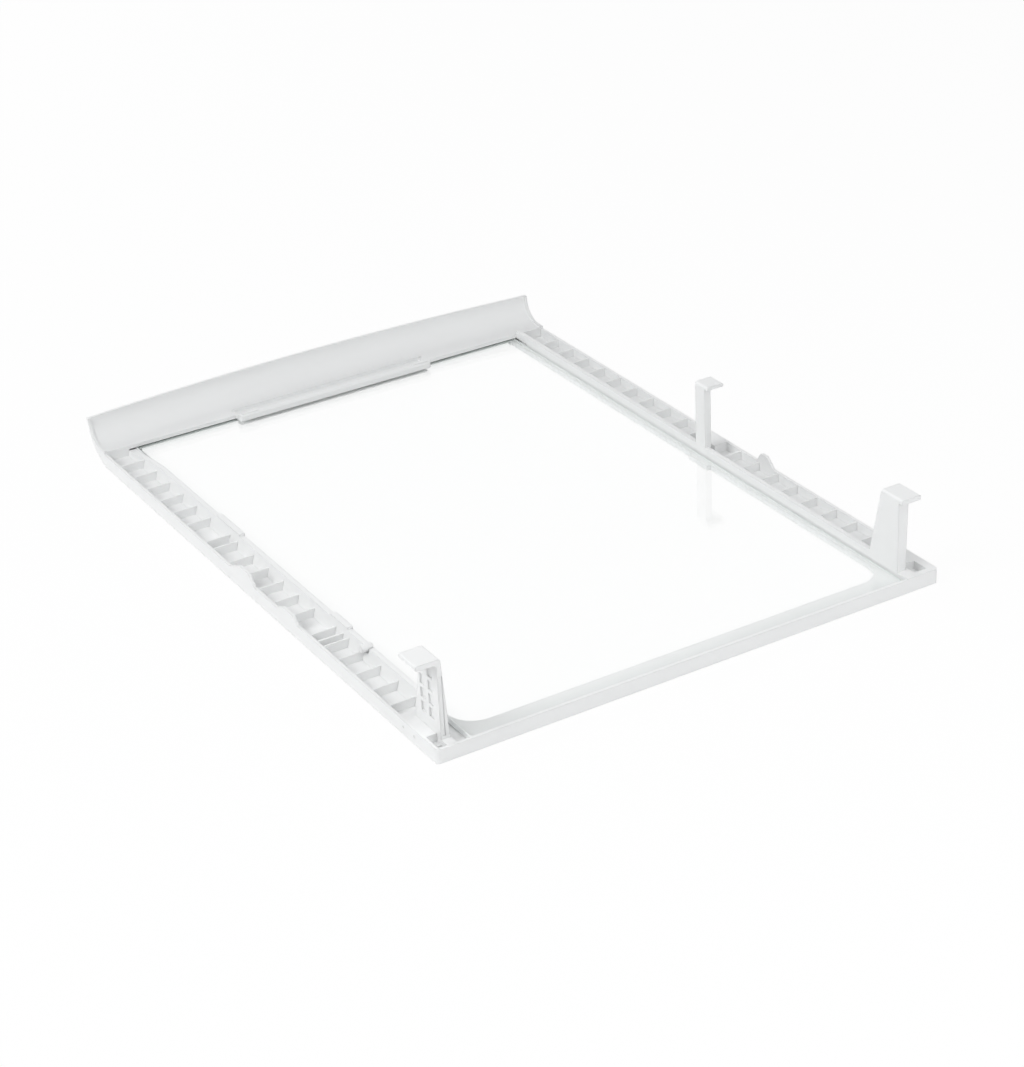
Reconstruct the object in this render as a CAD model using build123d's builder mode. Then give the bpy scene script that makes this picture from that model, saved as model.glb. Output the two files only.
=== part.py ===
from build123d import *
import os
from math import asin, degrees

# A slide-out refrigerator shelf: a glass panel in a one-piece moulded frame.
# It lies on its rim with its underside up: the hooks point to +Z, the curved front apron is at -Y,
# the rear bar at +Y, and the rail with the cored hook at +X.

# Frame
frame_width = 338.0
frame_depth = 469.4
rear_corner_radius = 2.2
wall = 1.9
rim_thickness = 3.3
rear_wall_thickness = 2.2
rear_wall_height = 8.6

# Rails: a ribbed channel between an outer wall and an inner wall that borders the glass
rail_width = 22.4
rail_height = 9.2
inner_wall_thickness = 3.0
plus_wall_base_thickness = 5.6
inner_wall_height = 13.1
plus_wall_height = 12.0
plus_wall_start = -0.5
plus_wall_ramp = 45.0
plus_wall_rear_gap = 32.0
rib_thickness = 1.5
rib_drop = 0.5
rib_pitch = 20.0
first_rib = 22.5
rib_clearance = 8.0

# Window in the rim: its laps under the glass, its reach in front of the ledge and its sloped front edge
side_lap = 3.0
rear_lap = 16.6
window_front = 0.6
window_slope = 6.0
window_land = 0.6
window_rear_radius = 17.0
window_front_radius = 1.5

# Glass panel
glass_thickness = 4.0
glass_side_gap = 0.5
glass_rear_gap = 0.8
glass_insert = 3.0
glass_corner_radius = 3.0
slot_gap = 0.3

# Front apron, bowed in plan and curled up from the rim
apron_reach = 31.8
apron_height = 26.8
apron_run = 29.0
apron_bow = 8.5
apron_root = 18.5
apron_tail = 8.0
apron_tip_thickness = 2.0
apron_end_rim = 0.8
ledge_thickness = 2.4
slot_overrun = 4.4
slot_nose_wall = 18.0

# Front lip that clips over the glass, with a tab of the rim below it
lip_length = 147.0
lip_reach = 8.2
lip_gap = 0.8
lip_height = 2.4
lip_bead = 5.0
lip_back = 7.5
lip_web = 1.0
lip_ridge = 1.2
lip_trough = 1.0
lip_end_radius = 2.5
lip_end_length = 14.0
lip_end_rise = 0.6
lip_tab_setback = 0.7
lip_tab_inset = 3.0

# Hooks: a post with a foot turned outwards
hook_height = 57.3
foot_thickness = 3.0
foot_tip_radius = 0.9
hook_crown_radius = 1.6
hook_bend_radius = 2.4

wide_hook_rear_gap = 10.0
wide_hook_base = 27.0
wide_hook_top = 16.0
plain_post_base_thickness = 5.8
plain_post_top_thickness = 7.0
plain_foot_reach = 13.5
plain_foot_overhang = 3.0

cored_post_offset = 8.0
cored_post_base_thickness = 6.0
cored_post_top_thickness = 2.6
cored_foot_reach = 15.0
cored_hook_height = 56.6
cored_hook_top = 18.0
core_width = 5.0
core_height = 6.2
core_depth = 1.0
core_pitch_y = 8.6
core_pitch_z = 8.4
core_first_z = 19.7
core_rear_edge = 6.0
groove_skin = 0.8
groove_width = 2.2
groove_depth = 0.6
groove_top = 46.0

narrow_hook_front = 222.5
narrow_hook_width = 10.3
narrow_hook_height = 56.2
narrow_post_thickness = 4.6
narrow_foot_reach = 12.5
narrow_foot_thickness = 2.2
narrow_foot_overhang = 2.8

# Closed blocks that carry the hooks, and the pockets in them outboard of the wide hooks
wide_block_length = 43.0
narrow_block_front = 209.5
narrow_block_length = 18.0
narrow_block_width = 11.5
pocket_length = 11.0
pocket_rear_land = 4.5
pocket_floor = 4.2
pocket_gap = 2.6
pocket_side_land = 5.5
plus_pocket_gap = 14.5
plus_floor = 7.4

# Stops on the outer walls: front of base, front of top, rear of top, rear of base, and their heights
plus_stops = ((187.0, 203.0, 214.0, 220.0), (249.0, 259.0, 271.0, 275.5))
plus_stop_heights = (15.8, 13.8)
minus_stops = ((260.0, 264.5, 270.5, 277.5),)
minus_stop_heights = (15.6,)
stop_top_radius = 1.5

# Glass clips, their ribs, the stop peg with the notch behind it, and the drain hole on the +X rail
clip_fronts = (130.0, 281.0)
clip_lengths = (32.0, 20.5)
clip_reach = 0.8
clip_rise = 1.2
clip_ribs = (150.0, 161.0, 289.0, 298.0, 305.0)
peg_y = 325.0
peg_radius = 2.3
peg_length = 4.2
peg_rise = 2.0
notch_front = 0.8
notch_length = 2.4
notch_depth = 3.2
notch_skin = 0.6
hole_y = 155.4
hole_length = 4.0
hole_width = 5.0
hole_inset = 13.6
dimple_gaps = (24.5, 36.5)
dimple_radius = 0.8
dimple_depth = 0.35
dimple_z = 5.0

# Ear of the rim under the glass beside the narrow hook
ear_reach = 2.4
ear_length = 20.0

# Places worked out from the sizes above
half_width = frame_width / 2
rear_y = frame_depth / 2
nose_y = -frame_depth / 2
ledge_y = nose_y + apron_reach
glass_x = half_width - rail_width
glass_top = rim_thickness + glass_thickness
slot_roof = glass_top + slot_gap
ledge_top = slot_roof + ledge_thickness
channel_inner_x = glass_x + inner_wall_thickness
channel_outer_x = half_width - wall
rib_height = rail_height - rib_drop
wide_hook_rear_y = rear_y - wide_hook_rear_gap
wide_block_front_y = rear_y - wide_block_length
cored_post_x = glass_x + cored_post_offset + cored_post_base_thickness
bow_radius = (half_width**2 + apron_bow**2) / (2 * apron_bow)
bow_axis = Axis((0, nose_y + bow_radius, 0), (0, 0, 1))
bow_half_angle = degrees(asin(half_width / bow_radius)) + 0.5
over = 2.0


def from_ledge(distance):
    """Y of a place measured rearwards from the front edge of the visible glass."""
    return ledge_y + distance


def block(x_min, x_max, y_min, y_max, z_min, z_max, mode=Mode.ADD):
    """A box given by its limits."""
    with Locations(((x_min + x_max) / 2, (y_min + y_max) / 2, (z_min + z_max) / 2)):
        Box(x_max - x_min, y_max - y_min, z_max - z_min, mode=mode)


def rail_block(side, x_min, x_max, y_min, y_max, z_min, z_max, mode=Mode.ADD):
    """A box on one rail, with X measured outwards from the middle of the shelf."""
    near, far = sorted((side * x_min, side * x_max))
    block(near, far, y_min, y_max, z_min, z_max, mode)


def apron_section(rise):
    """Section of the apron at the middle of the bow, with its inner face raised by rise."""
    inner_y = from_ledge(apron_tail)
    root = (nose_y + apron_root, ledge_top + rise)
    tip = (nose_y + apron_tip_thickness + rise, apron_height)
    with BuildSketch(Plane.YZ) as section:
        with BuildLine():
            Polyline((inner_y, ledge_top + rise), (inner_y, 0), (nose_y + apron_run, 0))
            TangentArc((nose_y + apron_run, 0), (nose_y, apron_height), tangent=(-1, 0))
            Line((nose_y, apron_height), tip)
            TangentArc(root, tip, tangent=(-1, 0))
            Line(root, (inner_y, ledge_top + rise))
        make_face()
    return section.sketch


def scoop_section():
    """Section of the space above the apron's inner face."""
    inner_y = from_ledge(apron_tail) + over
    root = (nose_y + apron_root, ledge_top)
    tip = (nose_y + apron_tip_thickness, apron_height)
    with BuildSketch(Plane.YZ) as section:
        with BuildLine():
            TangentArc(root, tip, tangent=(-1, 0))
            Polyline(
                tip,
                (tip[0], apron_height + over),
                (inner_y, apron_height + over),
                (inner_y, ledge_top),
                root,
            )
        make_face()
    return section.sketch


def slot_section():
    """Section of the slot behind the apron that takes the front edge of the glass."""
    back_y = nose_y + slot_nose_wall
    mouth_y = from_ledge(apron_tail)
    with BuildSketch(Plane.YZ) as section:
        with BuildLine():
            Polyline(
                (back_y, rim_thickness),
                (mouth_y, rim_thickness),
                (mouth_y, slot_roof),
                (back_y, slot_roof),
                close=True,
            )
        make_face()
    return section.sketch


def bowed(section, half):
    """A section carried round the bow of the front, as far as half to each side of the middle."""
    with BuildPart() as body:
        revolve(section, axis=bow_axis, revolution_arc=bow_half_angle)
        mirror(about=Plane.YZ)
        with BuildSketch(Plane.XY.offset(-over)):
            Rectangle(2 * half, 2 * frame_depth)
        extrude(amount=apron_height + 3 * over, mode=Mode.INTERSECT)
    return body.part


def hook_solid(inner, outer, foot_end, height, foot, front, rear, overhang):
    """A hook on the +X side: an angle profile trimmed to the tapered side outline of its post.

    inner, outer and front are pairs: the place at the base, then the place at the top.
    """
    front_base, front_top = front
    foot_rear = rear + overhang
    with BuildPart() as hook:
        with BuildSketch(Plane.XZ.offset(-foot_rear)):
            with BuildLine():
                FilletPolyline(
                    (outer[0], 0),
                    (outer[1], height - foot),
                    (foot_end, height - foot),
                    (foot_end, height),
                    (inner[1], height),
                    (inner[0], 0),
                    radius=(hook_bend_radius, foot_tip_radius, foot_tip_radius, hook_crown_radius),
                )
                Line((inner[0], 0), (outer[0], 0))
            make_face()
        extrude(amount=foot_rear - front_base)
        with BuildSketch(Plane.YZ):
            with BuildLine():
                Polyline(
                    (front_base, 0),
                    (front_base, rail_height),
                    (front_top, height),
                    (rear, height),
                    (rear, 0),
                    close=True,
                )
            make_face()
            with Locations(((front_top + foot_rear) / 2, height - foot / 2)):
                Rectangle(foot_rear - front_top, foot)
        extrude(amount=frame_width, mode=Mode.INTERSECT)
    return hook.part


def sloped_edge(edge_y, half):
    """The wedge cut from under an edge of the rim that faces the window, as far as half to each side."""
    with BuildPart() as wedge:
        with BuildSketch(Plane.YZ):
            with BuildLine():
                Polyline(
                    (edge_y + over, -over),
                    (edge_y + over, rim_thickness - window_land),
                    (edge_y, rim_thickness - window_land),
                    (edge_y - window_slope, 0),
                    (edge_y - window_slope, -over),
                    close=True,
                )
            make_face()
        extrude(amount=half, both=True)
    return wedge.part


def lip_solid():
    """The front lip over the glass: a bead on a thin web, with a trough and a low ridge behind it."""
    back_y = ledge_y - lip_back
    tip_y = ledge_y + lip_reach
    top = ledge_top + lip_height
    with BuildPart() as lip:
        with BuildSketch(Plane.YZ):
            with BuildLine():
                Polyline(
                    (back_y, slot_roof),
                    (ledge_y, slot_roof),
                    (ledge_y + lip_web, glass_top + lip_gap),
                    (tip_y, glass_top + lip_gap),
                    (tip_y, top - lip_web),
                    (tip_y - lip_web, top),
                    (tip_y - lip_bead + lip_web, top),
                    (tip_y - lip_bead, ledge_top),
                    (back_y + lip_ridge, ledge_top),
                    (back_y + lip_ridge, ledge_top + lip_ridge),
                    (back_y, ledge_top + lip_ridge),
                    close=True,
                )
            make_face()
        extrude(amount=lip_length / 2, both=True)
        with BuildSketch():
            with Locations((0, (back_y + tip_y) / 2)):
                RectangleRounded(lip_length, tip_y - back_y, lip_end_radius)
        extrude(amount=apron_height, mode=Mode.INTERSECT)
    return lip.part


def plus_wall_solid():
    """The inner wall of the +X rail: it rises from the ledge and its outer face leans inwards."""
    wall_rear_y = rear_y - plus_wall_rear_gap
    with BuildPart() as wall_part:
        with BuildSketch(Plane.XZ.offset(-wall_rear_y)):
            with BuildLine():
                Polyline(
                    (glass_x, 0),
                    (glass_x + plus_wall_base_thickness, 0),
                    (glass_x + plus_wall_base_thickness, rim_thickness),
                    (channel_inner_x, plus_wall_height),
                    (glass_x, plus_wall_height),
                    close=True,
                )
            make_face()
        extrude(amount=wall_rear_y - ledge_y)
        with BuildSketch(Plane.YZ):
            with BuildLine():
                Polyline(
                    (ledge_y, 0),
                    (ledge_y, glass_top + plus_wall_start),
                    (from_ledge(plus_wall_ramp), plus_wall_height),
                    (wall_rear_y, plus_wall_height),
                    (wall_rear_y, 0),
                    close=True,
                )
            make_face()
        extrude(amount=frame_width, mode=Mode.INTERSECT)
    return wall_part.part


def stop(side, places, height):
    """A ramped stop standing on an outer wall."""
    base_front, top_front, top_rear, base_rear = (from_ledge(place) for place in places)
    start = channel_outer_x if side > 0 else -half_width
    with BuildSketch(Plane.YZ.offset(start)) as outline:
        with BuildLine():
            FilletPolyline(
                (base_front, rail_height),
                (top_front, height),
                (top_rear, height),
                (base_rear, rail_height),
                radius=stop_top_radius,
            )
            Polyline((base_rear, rail_height), (base_rear, 0), (base_front, 0), (base_front, rail_height))
        make_face()
    extrude(outline.sketch, amount=wall)


# The hooks, made on the +X side; two of them are mirrored to the -X rail
wide_hook_front = (wide_hook_rear_y - wide_hook_base, wide_hook_rear_y - wide_hook_top)
plain_hook = hook_solid(
    inner=(glass_x, glass_x),
    outer=(glass_x + plain_post_base_thickness, glass_x + plain_post_top_thickness),
    foot_end=glass_x + plain_foot_reach,
    height=hook_height,
    foot=foot_thickness,
    front=wide_hook_front,
    rear=wide_hook_rear_y,
    overhang=plain_foot_overhang,
).mirror(Plane.YZ)

narrow_front_y = from_ledge(narrow_hook_front)
narrow_hook = hook_solid(
    inner=(glass_x, glass_x),
    outer=(glass_x + narrow_post_thickness, glass_x + narrow_post_thickness),
    foot_end=glass_x + narrow_foot_reach,
    height=narrow_hook_height,
    foot=narrow_foot_thickness,
    front=(narrow_front_y, narrow_front_y),
    rear=narrow_front_y + narrow_hook_width,
    overhang=narrow_foot_overhang,
).mirror(Plane.YZ)

cored_hook_shape = hook_solid(
    inner=(cored_post_x - cored_post_base_thickness, cored_post_x - cored_post_top_thickness),
    outer=(cored_post_x, cored_post_x),
    foot_end=cored_post_x - cored_post_top_thickness + cored_foot_reach,
    height=cored_hook_height,
    foot=foot_thickness,
    front=(wide_hook_front[0], wide_hook_rear_y - cored_hook_top),
    rear=wide_hook_rear_y,
    overhang=0,
)

with BuildPart() as cored_hook:
    add(cored_hook_shape)
    # Lattice of small cores in the outer face: four behind, three in front where the post is wider
    for column, rows in enumerate((4, 3)):
        core_y = wide_hook_rear_y - core_rear_edge - core_width / 2 - column * core_pitch_y
        with BuildSketch(Plane.YZ.offset(cored_post_x)):
            with Locations([(core_y, core_first_z + row * core_pitch_z) for row in range(rows)]):
                Rectangle(core_width, core_height)
        extrude(amount=-core_depth, mode=Mode.SUBTRACT)
    # Upright groove in the rear face
    groove_x = cored_post_x - groove_skin - groove_width
    block(
        groove_x,
        groove_x + groove_width,
        wide_hook_rear_y - groove_depth,
        wide_hook_rear_y + over,
        -over,
        groove_top,
        Mode.SUBTRACT,
    )

with BuildPart() as frame:
    # Apron with its end walls, then the hollow above it and the room for the glass behind the ledge
    add(bowed(apron_section(apron_end_rim), half_width))
    add(bowed(scoop_section(), channel_outer_x), mode=Mode.SUBTRACT)
    block(
        -half_width - over,
        half_width + over,
        ledge_y,
        rear_y,
        rim_thickness,
        apron_height,
        Mode.SUBTRACT,
    )

    # Rim
    with BuildSketch():
        with Locations((0, (ledge_y + rear_y) / 2)):
            Rectangle(frame_width, rear_y - ledge_y)
    extrude(amount=rim_thickness)

    # Outer walls, ribs and the closed block under each wide hook
    rib_count = int((wide_block_front_y - from_ledge(first_rib)) // rib_pitch) + 1
    even_ribs = [first_rib + number * rib_pitch for number in range(rib_count)]
    plus_ribs = [place for place in even_ribs if min(abs(place - rib) for rib in clip_ribs) > rib_clearance]
    plus_ribs += list(clip_ribs)
    for side, places in ((-1, even_ribs), (1, plus_ribs)):
        rail_block(side, channel_outer_x, half_width, ledge_y, rear_y, 0, rail_height)
        with BuildSketch():
            with Locations([(side * (glass_x + half_width) / 2, from_ledge(place)) for place in places]):
                Rectangle(rail_width, rib_thickness)
        extrude(amount=rib_height)
    rail_block(-1, glass_x, half_width, wide_block_front_y, rear_y, 0, rail_height)
    cored_block_x = glass_x + cored_post_offset
    rail_block(1, cored_block_x, half_width, wide_block_front_y, wide_hook_rear_y, 0, rail_height)
    rail_block(1, cored_block_x, cored_post_x, wide_hook_rear_y, rear_y, 0, plus_floor)

    # Rear wall, slot for the front of the glass, and the two inner walls; the +X one ends beside its hook
    block(-half_width, half_width, rear_y - rear_wall_thickness, rear_y, 0, rear_wall_height)
    rail_block(-1, glass_x, channel_inner_x, ledge_y, wide_hook_rear_y, 0, inner_wall_height)
    add(bowed(slot_section(), glass_x + slot_overrun), mode=Mode.SUBTRACT)
    add(plus_wall_solid())

    # Block under the narrow hook
    narrow_block_front_y = from_ledge(narrow_block_front)
    rail_block(
        -1,
        half_width - narrow_block_width,
        half_width,
        narrow_block_front_y,
        narrow_block_front_y + narrow_block_length,
        0,
        rail_height,
    )

    # Hooks and stops
    add(plain_hook)
    add(narrow_hook)
    add(cored_hook.part)
    for places, height in zip(plus_stops, plus_stop_heights):
        stop(1, places, height)
    for places, height in zip(minus_stops, minus_stop_heights):
        stop(-1, places, height)

    # Clips that hold the glass, on the inner wall of the +X rail
    for front, length in zip(clip_fronts, clip_lengths):
        rail_block(
            1,
            glass_x - clip_reach,
            channel_inner_x,
            from_ledge(front),
            from_ledge(front + length),
            slot_roof,
            plus_wall_height + clip_rise,
        )

    # Round stop peg beside the inner wall, with a notch behind it
    rail_block(
        1,
        glass_x + notch_skin,
        glass_x + plus_wall_base_thickness + over,
        from_ledge(peg_y) + notch_front,
        from_ledge(peg_y) + notch_front + notch_length,
        plus_wall_height - notch_depth,
        plus_wall_height + over,
        Mode.SUBTRACT,
    )
    with BuildSketch(Plane.YZ.offset(glass_x)):
        with Locations((from_ledge(peg_y), plus_wall_height + peg_rise - peg_radius)):
            Circle(peg_radius)
    extrude(amount=inner_wall_thickness + peg_length)

    # Front lip, its taller ends and the trough behind it
    add(lip_solid())
    lip_tip_y = ledge_y + lip_reach
    for side in (-1, 1):
        rail_block(
            side,
            lip_length / 2 - lip_end_length,
            lip_length / 2 - lip_end_radius,
            lip_tip_y - lip_bead + lip_web,
            lip_tip_y - lip_web,
            ledge_top,
            ledge_top + lip_height + lip_end_rise,
        )
    block(
        lip_end_radius - lip_length / 2,
        lip_length / 2 - lip_end_radius,
        ledge_y - lip_back + lip_ridge,
        lip_tip_y - lip_bead,
        ledge_top - lip_trough,
        ledge_top + lip_trough,
        Mode.SUBTRACT,
    )

    # Window in the rim, and the tab of the rim below the lip
    window_x = glass_x - side_lap
    window_front_y = ledge_y - window_front
    window_rear_y = rear_y - rear_lap
    with BuildSketch(Plane.XY.offset(-over)) as window:
        with Locations((0, (window_front_y + window_rear_y) / 2)):
            Rectangle(2 * window_x, window_rear_y - window_front_y)
        corners = window.vertices().group_by(Axis.Y)
        fillet(corners[-1], window_rear_radius)
        fillet(corners[0], window_front_radius)
    extrude(amount=over + rim_thickness, mode=Mode.SUBTRACT)
    add(sloped_edge(window_front_y, window_x - window_front_radius), mode=Mode.SUBTRACT)
    tab_edge_y = lip_tip_y - lip_tab_setback
    tab_x = lip_length / 2 - lip_tab_inset
    block(
        -tab_x,
        tab_x,
        window_front_y - over,
        tab_edge_y,
        0,
        rim_thickness,
    )
    add(sloped_edge(tab_edge_y, tab_x + over), mode=Mode.SUBTRACT)

    # Ear of the rim beside the narrow hook
    rail_block(
        -1,
        window_x - ear_reach,
        glass_x,
        narrow_front_y,
        narrow_front_y + ear_length,
        0,
        rim_thickness,
    )

    # Pocket outboard of each wide hook, drain hole and dimples in the outer wall
    rail_block(
        1,
        cored_post_x,
        channel_outer_x,
        rear_y - plus_pocket_gap,
        rear_y - rear_wall_thickness,
        pocket_floor,
        rail_height + over,
        Mode.SUBTRACT,
    )
    rail_block(
        -1,
        glass_x + plain_post_base_thickness + pocket_gap,
        half_width - pocket_side_land,
        rear_y - pocket_rear_land - pocket_length,
        rear_y - pocket_rear_land,
        pocket_floor,
        rail_height + over,
        Mode.SUBTRACT,
    )
    rail_block(
        1,
        half_width - hole_inset - hole_width / 2,
        half_width - hole_inset + hole_width / 2,
        from_ledge(hole_y) - hole_length / 2,
        from_ledge(hole_y) + hole_length / 2,
        -over,
        rim_thickness + over,
        Mode.SUBTRACT,
    )
    with BuildSketch(Plane.YZ.offset(half_width)):
        with Locations([(rear_y - gap, dimple_z) for gap in dimple_gaps]):
            Circle(dimple_radius)
    extrude(amount=-dimple_depth, mode=Mode.SUBTRACT)

    # Rounded rear corners
    uprights = frame.edges().filter_by(Axis.Z)
    rear_uprights = uprights.group_by(Axis.Y)[-1]
    fillet([rear_uprights.sort_by(Axis.X)[0], rear_uprights.sort_by(Axis.X)[-1]], rear_corner_radius)

frame.part.label = "moulded_frame"

# Glass panel, lying on the rim with its front edge in the slot
with BuildPart() as glass:
    glass_front_y = ledge_y - glass_insert
    glass_rear_y = rear_y - rear_wall_thickness - glass_rear_gap
    with BuildSketch(Plane.XY.offset(rim_thickness)):
        with Locations((0, (glass_front_y + glass_rear_y) / 2)):
            RectangleRounded(
                2 * (glass_x - glass_side_gap),
                glass_rear_y - glass_front_y,
                glass_corner_radius,
            )
    extrude(amount=glass_thickness)

glass.part.label = "glass_panel"

os.makedirs("parts", exist_ok=True)
export_step(frame.part, "parts/moulded_frame.step")
export_step(glass.part, "parts/glass_panel.step")
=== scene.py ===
import logging
from dataclasses import dataclass, replace
from enum import Enum

import bmesh
import bpy
from mathutils import Matrix, Vector

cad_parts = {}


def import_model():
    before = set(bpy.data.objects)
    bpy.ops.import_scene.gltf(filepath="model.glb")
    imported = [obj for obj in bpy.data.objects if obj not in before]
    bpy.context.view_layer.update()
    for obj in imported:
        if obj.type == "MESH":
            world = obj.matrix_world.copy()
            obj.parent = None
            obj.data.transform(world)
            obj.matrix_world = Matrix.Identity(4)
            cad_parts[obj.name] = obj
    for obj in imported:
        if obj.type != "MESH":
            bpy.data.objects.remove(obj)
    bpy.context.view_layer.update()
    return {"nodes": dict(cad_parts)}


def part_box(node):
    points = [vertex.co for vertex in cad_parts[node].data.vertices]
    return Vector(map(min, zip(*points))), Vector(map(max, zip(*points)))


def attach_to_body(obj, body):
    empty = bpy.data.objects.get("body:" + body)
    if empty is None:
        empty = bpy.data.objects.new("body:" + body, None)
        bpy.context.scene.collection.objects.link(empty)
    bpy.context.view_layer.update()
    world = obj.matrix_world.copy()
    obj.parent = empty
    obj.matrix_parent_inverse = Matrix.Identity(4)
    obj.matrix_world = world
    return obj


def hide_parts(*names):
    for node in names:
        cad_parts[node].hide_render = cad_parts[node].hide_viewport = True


LOG = logging.getLogger("refrigerator_shelf")
BODY = "root"
MM = 0.001

Colour = tuple[float, float, float]
Point = tuple[float, float, float]
Socket = bpy.types.NodeSocket

WHITE: Colour = (1.0, 1.0, 1.0)


class Slot(Enum):
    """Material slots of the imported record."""

    GLASS = "clear_glass"


class Node(Enum):
    """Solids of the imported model."""

    FRAME = "moulded_frame"
    GLASS = "glass_panel"


class Facing(Enum):
    """Which faces of the glass a finish goes on, as material indices."""

    POLISHED = 0
    SHADE_PAINTED_FRONT_EDGE = 1
    SHADE_PAINTED_MINUS_EDGE = 2
    LIGHT_PAINTED_EDGE = 3


def rgba(colour: Colour) -> tuple[float, float, float, float]:
    """Gives a colour an alpha of one.

    Args:
        colour: The colour.

    Returns:
        The colour with its alpha.
    """
    return (*colour, 1.0)


class NodeTree:
    """A thin helper that adds nodes to a node tree and links them."""

    def __init__(self, tree: bpy.types.NodeTree) -> None:
        """Keeps the tree and empties it.

        Args:
            tree: The node tree of a material, world or group.
        """
        self.tree = tree
        self.tree.nodes.clear()

    def add(self, kind: str, **settings: object) -> bpy.types.Node:
        """Adds one node.

        Args:
            kind: The node's type name.
            **settings: Attributes to set on the node.

        Returns:
            The new node.
        """
        node = self.tree.nodes.new(kind)
        for name, value in settings.items():
            setattr(node, name, value)
        return node

    def link(self, source: Socket, target: Socket) -> None:
        """Links two sockets.

        Args:
            source: The output socket.
            target: The input socket.
        """
        self.tree.links.new(source, target)

    def math(self, operation: str, first: Socket | float, second: Socket | float = 0.0) -> Socket:
        """Adds a Math node.

        Args:
            operation: The operation's name.
            first: A socket or a number.
            second: A socket or a number, which some operations ignore.

        Returns:
            The node's output socket.
        """
        node = self.add("ShaderNodeMath", operation=operation)
        for socket, value in zip(node.inputs, (first, second)):
            if isinstance(value, Socket):
                self.link(value, socket)
            else:
                socket.default_value = value
        return node.outputs[0]

    def blend(self, factor: Socket, low: Socket | Colour, high: Socket | Colour) -> Socket:
        """Adds a colour Mix node.

        Args:
            factor: The socket that drives the mix.
            low: The colour at a factor of zero, as a colour or a socket.
            high: The colour at a factor of one, as a colour or a socket.

        Returns:
            The mixed colour's socket.
        """
        node = self.add("ShaderNodeMix", data_type="RGBA")
        self.link(factor, node.inputs["Factor"])
        colours = [socket for socket in node.inputs if socket.type == "RGBA"]
        for socket, value in zip(colours, (low, high)):
            if isinstance(value, Socket):
                self.link(value, socket)
            else:
                socket.default_value = rgba(value)
        return next(socket for socket in node.outputs if socket.type == "RGBA")

    def remap(
        self,
        value: Socket,
        start: float = 0.0,
        end: float = 1.0,
        low: float = 0.0,
        high: float = 1.0,
        shape: str = "LINEAR",
    ) -> Socket:
        """Maps a value from one range onto another.

        Args:
            value: The socket to map.
            start: The value that gives the low result.
            end: The value that gives the high result.
            low: The result at the start.
            high: The result at the end.
            shape: The interpolation type between them.

        Returns:
            The mapped value's socket.
        """
        node = self.add("ShaderNodeMapRange", interpolation_type=shape)
        for name, number in (("From Min", start), ("From Max", end), ("To Min", low), ("To Max", high)):
            node.inputs[name].default_value = number
        self.link(value, node.inputs["Value"])
        return node.outputs["Result"]

    def mix_to(self, output: bpy.types.Node, factor: Socket, first: Socket, second: Socket) -> None:
        """Mixes two shaders onto the surface of an output node.

        Args:
            output: The output node.
            factor: The socket that drives the mix.
            first: The shader at a factor of zero.
            second: The shader at a factor of one.
        """
        node = self.add("ShaderNodeMixShader")
        self.link(factor, node.inputs["Fac"])
        self.link(first, node.inputs[1])
        self.link(second, node.inputs[2])
        self.link(node.outputs["Shader"], output.inputs["Surface"])


@dataclass(frozen=True)
class NoiseLayer:
    """One noise of the grain group, with the group's input that sets its scale."""

    scale_input: str
    scale: float
    detail: float


class MouldGrain:
    """The node group for a grained surface: fine grain, broad unevenness and faint scuffs."""

    NAME = "mould_grain"
    LAYERS = (
        NoiseLayer("Fine Scale", 2600.0, 2.0),
        NoiseLayer("Broad Scale", 22.0, 3.0),
        NoiseLayer("Scuff Scale", 260.0, 4.0),
    )
    SCUFF_START = 0.58
    SCUFF_FULL = 0.74

    @classmethod
    def group(cls) -> bpy.types.NodeTree:
        """Builds the group once.

        Returns:
            The shader node group.
        """
        found = bpy.data.node_groups.get(cls.NAME)
        if found is not None:
            return found
        tree = bpy.data.node_groups.new(cls.NAME, "ShaderNodeTree")
        for layer in cls.LAYERS:
            socket = tree.interface.new_socket(
                layer.scale_input, in_out="INPUT", socket_type="NodeSocketFloat"
            )
            socket.default_value = layer.scale
        for name in ("Height", "Tone", "Scuff"):
            tree.interface.new_socket(name, in_out="OUTPUT", socket_type="NodeSocketFloat")
        net = NodeTree(tree)
        entry = net.add("NodeGroupInput")
        leave = net.add("NodeGroupOutput")
        place = net.add("ShaderNodeTexCoord")
        noises = []
        for layer in cls.LAYERS:
            noise = net.add("ShaderNodeTexNoise", noise_dimensions="3D")
            noise.inputs["Detail"].default_value = layer.detail
            net.link(place.outputs["Object"], noise.inputs["Vector"])
            net.link(entry.outputs[layer.scale_input], noise.inputs["Scale"])
            noises.append(noise.outputs["Fac"])
        fine, broad, scuff = noises
        net.link(fine, leave.inputs["Height"])
        net.link(broad, leave.inputs["Tone"])
        net.link(net.remap(scuff, cls.SCUFF_START, cls.SCUFF_FULL), leave.inputs["Scuff"])
        return tree


def new_material(name: str) -> tuple[bpy.types.Material, NodeTree, bpy.types.Node, bpy.types.Node]:
    """Starts a material with one Principled shader.

    Args:
        name: The material's name.

    Returns:
        The material, its node helper, the Principled node and the output node.
    """
    material = bpy.data.materials.new(name)
    material.use_nodes = True
    net = NodeTree(material.node_tree)
    shader = net.add("ShaderNodeBsdfPrincipled")
    output = net.add("ShaderNodeOutputMaterial")
    net.link(shader.outputs["BSDF"], output.inputs["Surface"])
    return material, net, shader, output


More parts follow.
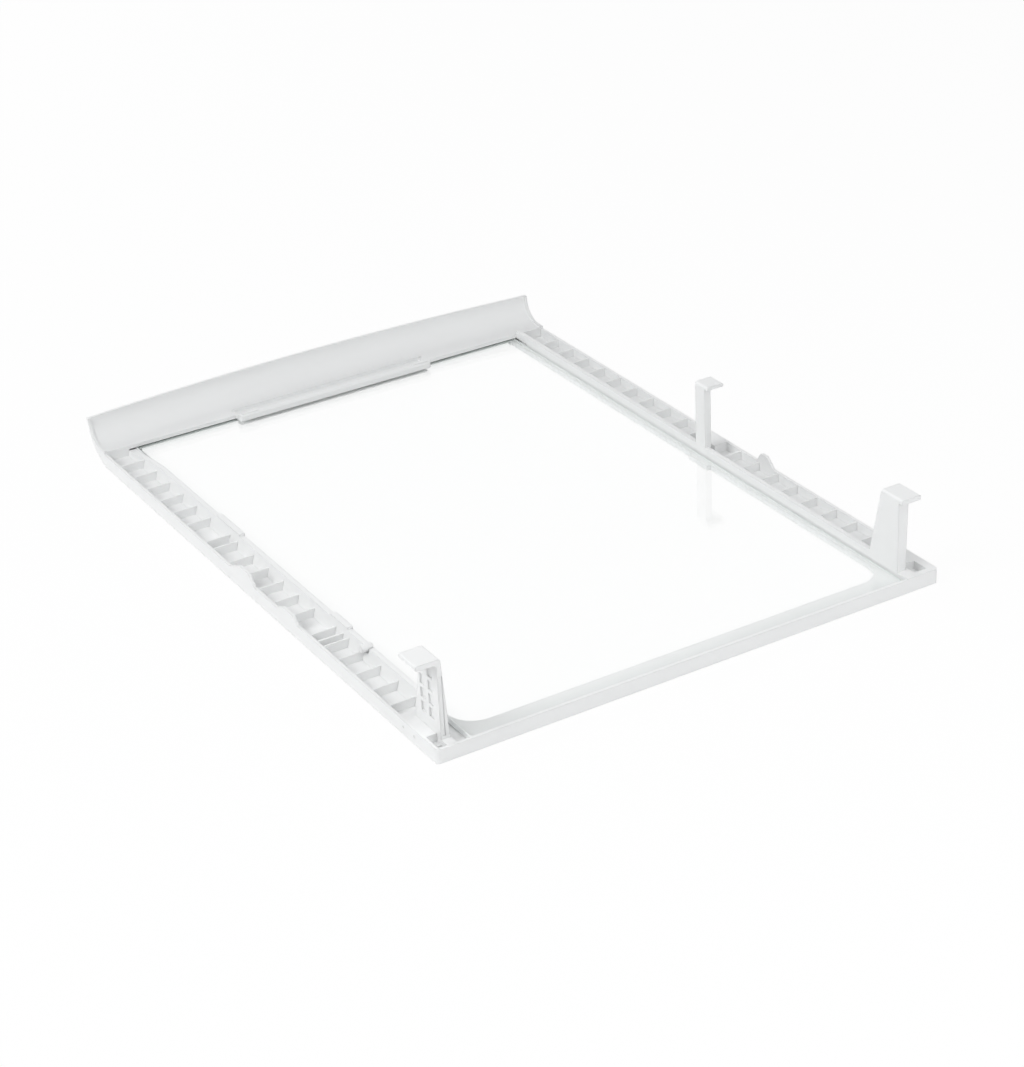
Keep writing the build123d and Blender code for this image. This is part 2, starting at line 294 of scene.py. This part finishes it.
@dataclass(frozen=True)
class GrainedFinish:
    """A grained finish with faint tone changes and scuffs, for the moulding and for ground glass."""

    name: str
    light: Colour
    deep: Colour
    smooth: float
    rough: float
    grain_strength: float
    grain_depth: float
    edge_radius: float
    edge_samples: int = 4
    fine_scale: float = 2600.0
    broad_scale: float = 22.0
    tone_share: float = 0.65
    scuff_share: float = 0.35
    index: float = 1.49

    def material(self) -> bpy.types.Material:
        """Builds the finish's material.

        Returns:
            The material.
        """
        material, net, shader, _ = new_material(self.name)
        grain = net.add("ShaderNodeGroup", node_tree=MouldGrain.group())
        grain.inputs["Fine Scale"].default_value = self.fine_scale
        grain.inputs["Broad Scale"].default_value = self.broad_scale
        colour = net.blend(grain.outputs["Tone"], self.deep, self.light)
        net.link(colour, shader.inputs["Base Color"])
        wear = net.math("MULTIPLY", grain.outputs["Scuff"], self.scuff_share)
        finish = net.math("ADD", net.math("MULTIPLY", grain.outputs["Tone"], self.tone_share), wear)
        roughness = net.remap(finish, low=self.smooth, high=self.rough)
        net.link(roughness, shader.inputs["Roughness"])
        rounded = net.add("ShaderNodeBevel", samples=self.edge_samples)
        rounded.inputs["Radius"].default_value = self.edge_radius
        bump = net.add("ShaderNodeBump")
        bump.inputs["Strength"].default_value = self.grain_strength
        bump.inputs["Distance"].default_value = self.grain_depth
        net.link(grain.outputs["Height"], bump.inputs["Height"])
        net.link(rounded.outputs["Normal"], bump.inputs["Normal"])
        net.link(bump.outputs["Normal"], shader.inputs["Normal"])
        shader.inputs["IOR"].default_value = self.index
        return material


@dataclass(frozen=True)
class GlassFinish:
    """Clear float glass, with a tint that deepens towards its edges as painted shade."""

    name: str
    tint: Colour
    side_painted_shade: Colour
    front_painted_shade: Colour
    edge_band: float
    half_width: float
    front: float
    rear: float
    roughness: float = 0.0
    index: float = 1.5

    def blend_in(self, net: NodeTree, distance: Socket, edge: Colour, middle: Socket | Colour) -> Socket:
        """Fades from an edge's painted shade tint into the middle of the pane.

        Args:
            net: The material's node helper.
            distance: The distance from the edge.
            edge: The painted shade tint at the edge.
            middle: The tint away from the edge, a colour or a socket.

        Returns:
            The blended colour's socket.
        """
        return net.blend(net.remap(distance, end=self.edge_band, shape="SMOOTHSTEP"), edge, middle)

    def material(self) -> bpy.types.Material:
        """Builds the finish's material, which lets lamplight through to what lies behind it.

        Returns:
            The material.
        """
        material, net, shader, output = new_material(self.name)
        place = net.add("ShaderNodeTexCoord")
        axes = net.add("ShaderNodeSeparateXYZ")
        net.link(place.outputs["Object"], axes.inputs["Vector"])
        side = net.math("SUBTRACT", self.half_width, net.math("ABSOLUTE", axes.outputs["X"]))
        front = net.math("SUBTRACT", axes.outputs["Y"], self.front)
        rear = net.math("SUBTRACT", self.rear, axes.outputs["Y"])
        # Painted shade: the pane darkens towards its sides and rear, and more towards its front, standing
        # in for the shade under the glass beside the frame.
        plain = self.blend_in(net, net.math("MINIMUM", side, rear), self.side_painted_shade, self.tint)
        whole = self.blend_in(net, front, self.front_painted_shade, plain)
        net.link(whole, shader.inputs["Base Color"])
        shader.inputs["Roughness"].default_value = self.roughness
        shader.inputs["IOR"].default_value = self.index
        shader.inputs["Transmission Weight"].default_value = 1.0
        rays = net.add("ShaderNodeLightPath")
        passing = net.math("MAXIMUM", rays.outputs["Is Shadow Ray"], rays.outputs["Is Diffuse Ray"])
        open_way = net.add("ShaderNodeBsdfTransparent")
        open_way.inputs["Color"].default_value = rgba(self.tint)
        net.mix_to(output, passing, shader.outputs["BSDF"], open_way.outputs["BSDF"])
        return material


PLASTIC = GrainedFinish(
    name="white_moulding",
    light=(0.86, 0.865, 0.863),
    deep=(0.834, 0.84, 0.839),
    smooth=0.34,
    rough=0.5,
    grain_strength=0.25,
    grain_depth=0.04 * MM,
    edge_radius=0.7 * MM,
)
# Painted light: a paler copy of the ground-glass edge, for the plus-X and rear edges, lightened to stand
# in for light where they sit in shade.
LIGHT_PAINTED_EDGE = GrainedFinish(
    name="light_painted_glass_edge",
    light=(0.93, 0.945, 0.94),
    deep=(0.9, 0.92, 0.912),
    smooth=0.3,
    rough=0.5,
    grain_strength=0.3,
    grain_depth=0.03 * MM,
    edge_radius=0.15 * MM,
)
# Painted shade: a darker copy of the same ground-glass edge, for the minus-X edge, standing in for the
# shade that falls along it.
SHADE_PAINTED_MINUS_EDGE = replace(
    LIGHT_PAINTED_EDGE,
    name="shaded_glass_edge",
    light=(0.8, 0.82, 0.812),
    deep=(0.74, 0.765, 0.755),
)
# Painted shade: the front edge of the glass is coloured near black to stand in for the shade in the slot
# under the ledge and the lip.
SHADE_PAINTED_FRONT_EDGE = replace(
    LIGHT_PAINTED_EDGE,
    name="shade_painted_front_glass_edge",
    light=(0.03, 0.07, 0.055),
    deep=(0.015, 0.04, 0.03),
    smooth=0.25,
    rough=0.45,
)


def attach(
    name: str, mesh_source: bmesh.types.BMesh, finishes: list[bpy.types.Material]
) -> bpy.types.Object:
    """Turns a bmesh into a piece that rides on the shelf.

    Args:
        name: The piece's name.
        mesh_source: The finished bmesh, which is freed.
        finishes: The materials, in the order of the faces' indices.

    Returns:
        The piece.
    """
    mesh = bpy.data.meshes.new(name)
    mesh_source.to_mesh(mesh)
    mesh_source.free()
    for finish in finishes:
        mesh.materials.append(finish)
    piece = bpy.data.objects.new(name, mesh)
    bpy.context.scene.collection.objects.link(piece)
    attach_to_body(piece, BODY)
    return piece


def bevel(shape: bmesh.types.BMesh, edges: list[bmesh.types.BMEdge], offset: float, segments: int) -> None:
    """Bevels some edges of a bmesh.

    Args:
        shape: The bmesh.
        edges: The edges.
        offset: How far the bevel reaches from each edge.
        segments: The number of faces across the bevel.
    """
    bmesh.ops.bevel(
        shape,
        geom=edges,
        offset=offset,
        offset_type="OFFSET",
        affect="EDGES",
        segments=segments,
        profile=0.5,
        material=-1,
    )


def rise(edge: bmesh.types.BMEdge) -> float:
    """Measures how far an edge climbs.

    Args:
        edge: The edge.

    Returns:
        The difference in height between its ends.
    """
    start, end = edge.verts
    return abs(start.co.z - end.co.z)


@dataclass(frozen=True)
class MouldedFrame:
    """The one-piece moulding: apron, rails, rear bar and hooks."""

    finish: GrainedFinish

    def dress(self, node: bpy.types.Object) -> None:
        """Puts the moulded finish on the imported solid.

        Args:
            node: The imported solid's object.
        """
        node.data.materials.clear()
        node.data.materials.append(self.finish.material())


@dataclass(frozen=True)
class GlassPane:
    """The glass panel, with ground and lightly chamfered edges, finished with painted light on the plus-X
    and rear edges and painted shade on the front and minus-X edges.
    """

    low: Vector
    high: Vector
    polished: GlassFinish
    corner_radius: float = 3.0 * MM
    corner_segments: int = 6
    chamfer: float = 0.5 * MM
    rest_gap: float = 0.06 * MM
    flat_limit: float = 0.99
    edge_limit: float = 0.6

    def facing(self, normal: Vector) -> Facing:
        """Tells which finish a face takes.

        Args:
            normal: The face's normal.

        Returns:
            The finish's place in the pane's material list.
        """
        if abs(normal.z) > self.flat_limit:
            return Facing.POLISHED
        # The front edge takes the near-black painted shade finish.
        if normal.y < -self.edge_limit:
            return Facing.SHADE_PAINTED_FRONT_EDGE
        if normal.x < -self.edge_limit:
            return Facing.SHADE_PAINTED_MINUS_EDGE
        return Facing.LIGHT_PAINTED_EDGE

    def build(self) -> bpy.types.Object:
        """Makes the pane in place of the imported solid.

        Returns:
            The pane.
        """
        foot = self.low + Vector((0.0, 0.0, self.rest_gap))
        size = self.high - foot
        centre = (self.high + foot) / 2
        half_rise = size.z / 2
        pane = bmesh.new()
        bmesh.ops.create_cube(pane, size=1.0)
        bmesh.ops.scale(pane, vec=size, verts=pane.verts)
        uprights = [edge for edge in pane.edges if rise(edge) > half_rise]
        bevel(pane, uprights, self.corner_radius, self.corner_segments)
        rims = [edge for edge in pane.edges if rise(edge) < half_rise]
        bevel(pane, rims, self.chamfer, 1)
        bmesh.ops.translate(pane, vec=centre, verts=pane.verts)
        bmesh.ops.recalc_face_normals(pane, faces=pane.faces)
        for face in pane.faces:
            face.material_index = self.facing(face.normal).value
        finishes = {
            Facing.POLISHED: self.polished,
            Facing.SHADE_PAINTED_FRONT_EDGE: SHADE_PAINTED_FRONT_EDGE,
            Facing.SHADE_PAINTED_MINUS_EDGE: SHADE_PAINTED_MINUS_EDGE,
            Facing.LIGHT_PAINTED_EDGE: LIGHT_PAINTED_EDGE,
        }
        piece = attach("glass_pane", pane, [finishes[facing].material() for facing in Facing])
        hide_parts(Node.GLASS.value)
        return piece


def background_rays(net: NodeTree) -> Socket:
    """Gives one for rays that show the background itself, in the camera, in gloss or through glass.

    Args:
        net: The node tree that needs the test.

    Returns:
        The test's socket.
    """
    rays = net.add("ShaderNodeLightPath")
    seen = net.math("MAXIMUM", rays.outputs["Is Camera Ray"], rays.outputs["Is Glossy Ray"])
    return net.math("MAXIMUM", seen, rays.outputs["Is Transmission Ray"])


@dataclass(frozen=True)
class Lamp:
    """A square soft lamp, which doesn't show in gloss or through glass."""

    name: str
    place: Point
    target: Point
    power: float
    size: float

    def hang(self) -> None:
        """Hangs the lamp at its place and points it at its target."""
        data = bpy.data.lights.new(self.name, "AREA")
        data.energy = self.power
        data.size = self.size
        lamp = bpy.data.objects.new(self.name, data)
        aim = Vector(self.target) - Vector(self.place)
        turn = aim.to_track_quat("-Z", "Y").to_matrix().to_4x4()
        lamp.matrix_world = Matrix.Translation(self.place) @ turn
        lamp.visible_glossy = False
        lamp.visible_transmission = False
        bpy.context.scene.collection.objects.link(lamp)


@dataclass(frozen=True)
class Viewpoint:
    """The camera: its place, its three axes and its lens."""

    place: Point
    right: Point
    up: Point
    ahead: Point
    lens: float
    sensor: float = 36.0
    clip_near: float = 0.05
    clip_far: float = 50.0

    def set_up(self) -> None:
        """Sets the scene's camera at the viewpoint."""
        data = bpy.data.cameras.new("camera")
        data.lens = self.lens
        data.sensor_width = self.sensor
        data.clip_start = self.clip_near
        data.clip_end = self.clip_far
        camera = bpy.data.objects.new("camera", data)
        turn = Matrix((self.right, self.up, -Vector(self.ahead))).transposed().to_4x4()
        camera.matrix_world = Matrix.Translation(self.place) @ turn
        bpy.context.scene.collection.objects.link(camera)
        bpy.context.scene.camera = camera


@dataclass(frozen=True)
class Studio:
    """Floor, world, lamps and camera."""

    lamps: tuple[Lamp, ...]
    viewpoint: Viewpoint
    floor_size: float = 14.0
    floor_drop: float = 0.2 * MM
    floor_colour: Colour = (0.9, 0.9, 0.9)
    shadow_share: float = 0.05
    horizon: Colour = (0.33, 0.335, 0.34)
    zenith: Colour = (0.385, 0.39, 0.395)
    horizon_end: float = 0.15
    zenith_start: float = 0.65

    def floor(self) -> None:
        """Lays the pale floor, which keeps a share of the object's shadow."""
        ground = bmesh.new()
        bmesh.ops.create_grid(ground, x_segments=1, y_segments=1, size=self.floor_size / 2)
        bmesh.ops.translate(ground, vec=(0.0, 0.0, -self.floor_drop), verts=ground.verts)
        mesh = bpy.data.meshes.new("floor")
        ground.to_mesh(mesh)
        ground.free()
        material = bpy.data.materials.new("pale_floor")
        material.use_nodes = True
        net = NodeTree(material.node_tree)
        matt = net.add("ShaderNodeBsdfDiffuse")
        matt.inputs["Color"].default_value = rgba(self.floor_colour)
        white = net.add("ShaderNodeEmission")
        output = net.add("ShaderNodeOutputMaterial")
        plain = net.math("MULTIPLY", background_rays(net), 1.0 - self.shadow_share)
        net.mix_to(output, plain, matt.outputs["BSDF"], white.outputs["Emission"])
        mesh.materials.append(material)
        floor = bpy.data.objects.new("floor", mesh)
        bpy.context.scene.collection.objects.link(floor)

    def world(self) -> None:
        """Sets the soft surrounding light and a white background."""
        world = bpy.data.worlds.new("studio_world")
        world.use_nodes = True
        net = NodeTree(world.node_tree)
        place = net.add("ShaderNodeTexCoord")
        axes = net.add("ShaderNodeSeparateXYZ")
        net.link(place.outputs["Generated"], axes.inputs["Vector"])
        height = net.remap(axes.outputs["Z"], self.horizon_end, self.zenith_start, shape="SMOOTHSTEP")
        soft = net.add("ShaderNodeBackground")
        net.link(net.blend(height, self.horizon, self.zenith), soft.inputs["Color"])
        white = net.add("ShaderNodeBackground")
        white.inputs["Color"].default_value = rgba(WHITE)
        output = net.add("ShaderNodeOutputWorld")
        net.mix_to(output, background_rays(net), soft.outputs["Background"], white.outputs["Background"])
        bpy.context.scene.world = world

    def build(self) -> None:
        """Builds the whole studio."""
        self.floor()
        self.world()
        for lamp in self.lamps:
            lamp.hang()
        self.viewpoint.set_up()
        bpy.context.scene.view_settings.view_transform = "Standard"


LAMPS = (
    Lamp("key_lamp", place=(0.5, -2.2, 1.15), target=(0.0, 0.0, 0.0), power=18.0, size=1.1),
    Lamp("side_lamp", place=(1.5, 0.1, 1.3), target=(0.0, 0.0, 0.0), power=17.2, size=1.0),
    Lamp("rear_lamp", place=(-0.2, 1.15, 0.32), target=(0.0, 0.2, 0.0), power=2.1, size=0.6),
    Lamp("upper_lamp", place=(0.0, 0.75, 0.95), target=(0.0, 0.1, 0.0), power=2.9, size=0.7),
)
PHOTO_VIEW = Viewpoint(
    place=(0.7211, 1.2875, 0.7661),
    right=(-0.8538, 0.5185, -0.0459),
    up=(-0.2781, -0.3798, 0.8823),
    ahead=(-0.4401, -0.7661, -0.4685),
    lens=89.78,
)


def main() -> None:
    """Builds the shelf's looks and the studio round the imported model."""
    logging.basicConfig(level=logging.INFO, format="%(message)s")
    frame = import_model()

    MouldedFrame(PLASTIC).dress(frame["nodes"][Node.FRAME.value])
    LOG.info("moulded frame dressed")

    low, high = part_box(Node.GLASS.value)
    polished = GlassFinish(
        name="float_glass",
        tint=(0.992, 0.996, 0.994),
        # Painted shade tints towards the sides, rear and front of the pane.
        side_painted_shade=(0.945, 0.955, 0.952),
        front_painted_shade=(0.85, 0.89, 0.875),
        edge_band=11.0 * MM,
        half_width=high.x,
        front=low.y,
        rear=high.y,
    )
    pane = GlassPane(low, high, polished).build()
    LOG.info("%s built", pane.name)

    Studio(LAMPS, PHOTO_VIEW).build()
    LOG.info("studio built")


if __name__ == "__main__":
    main()
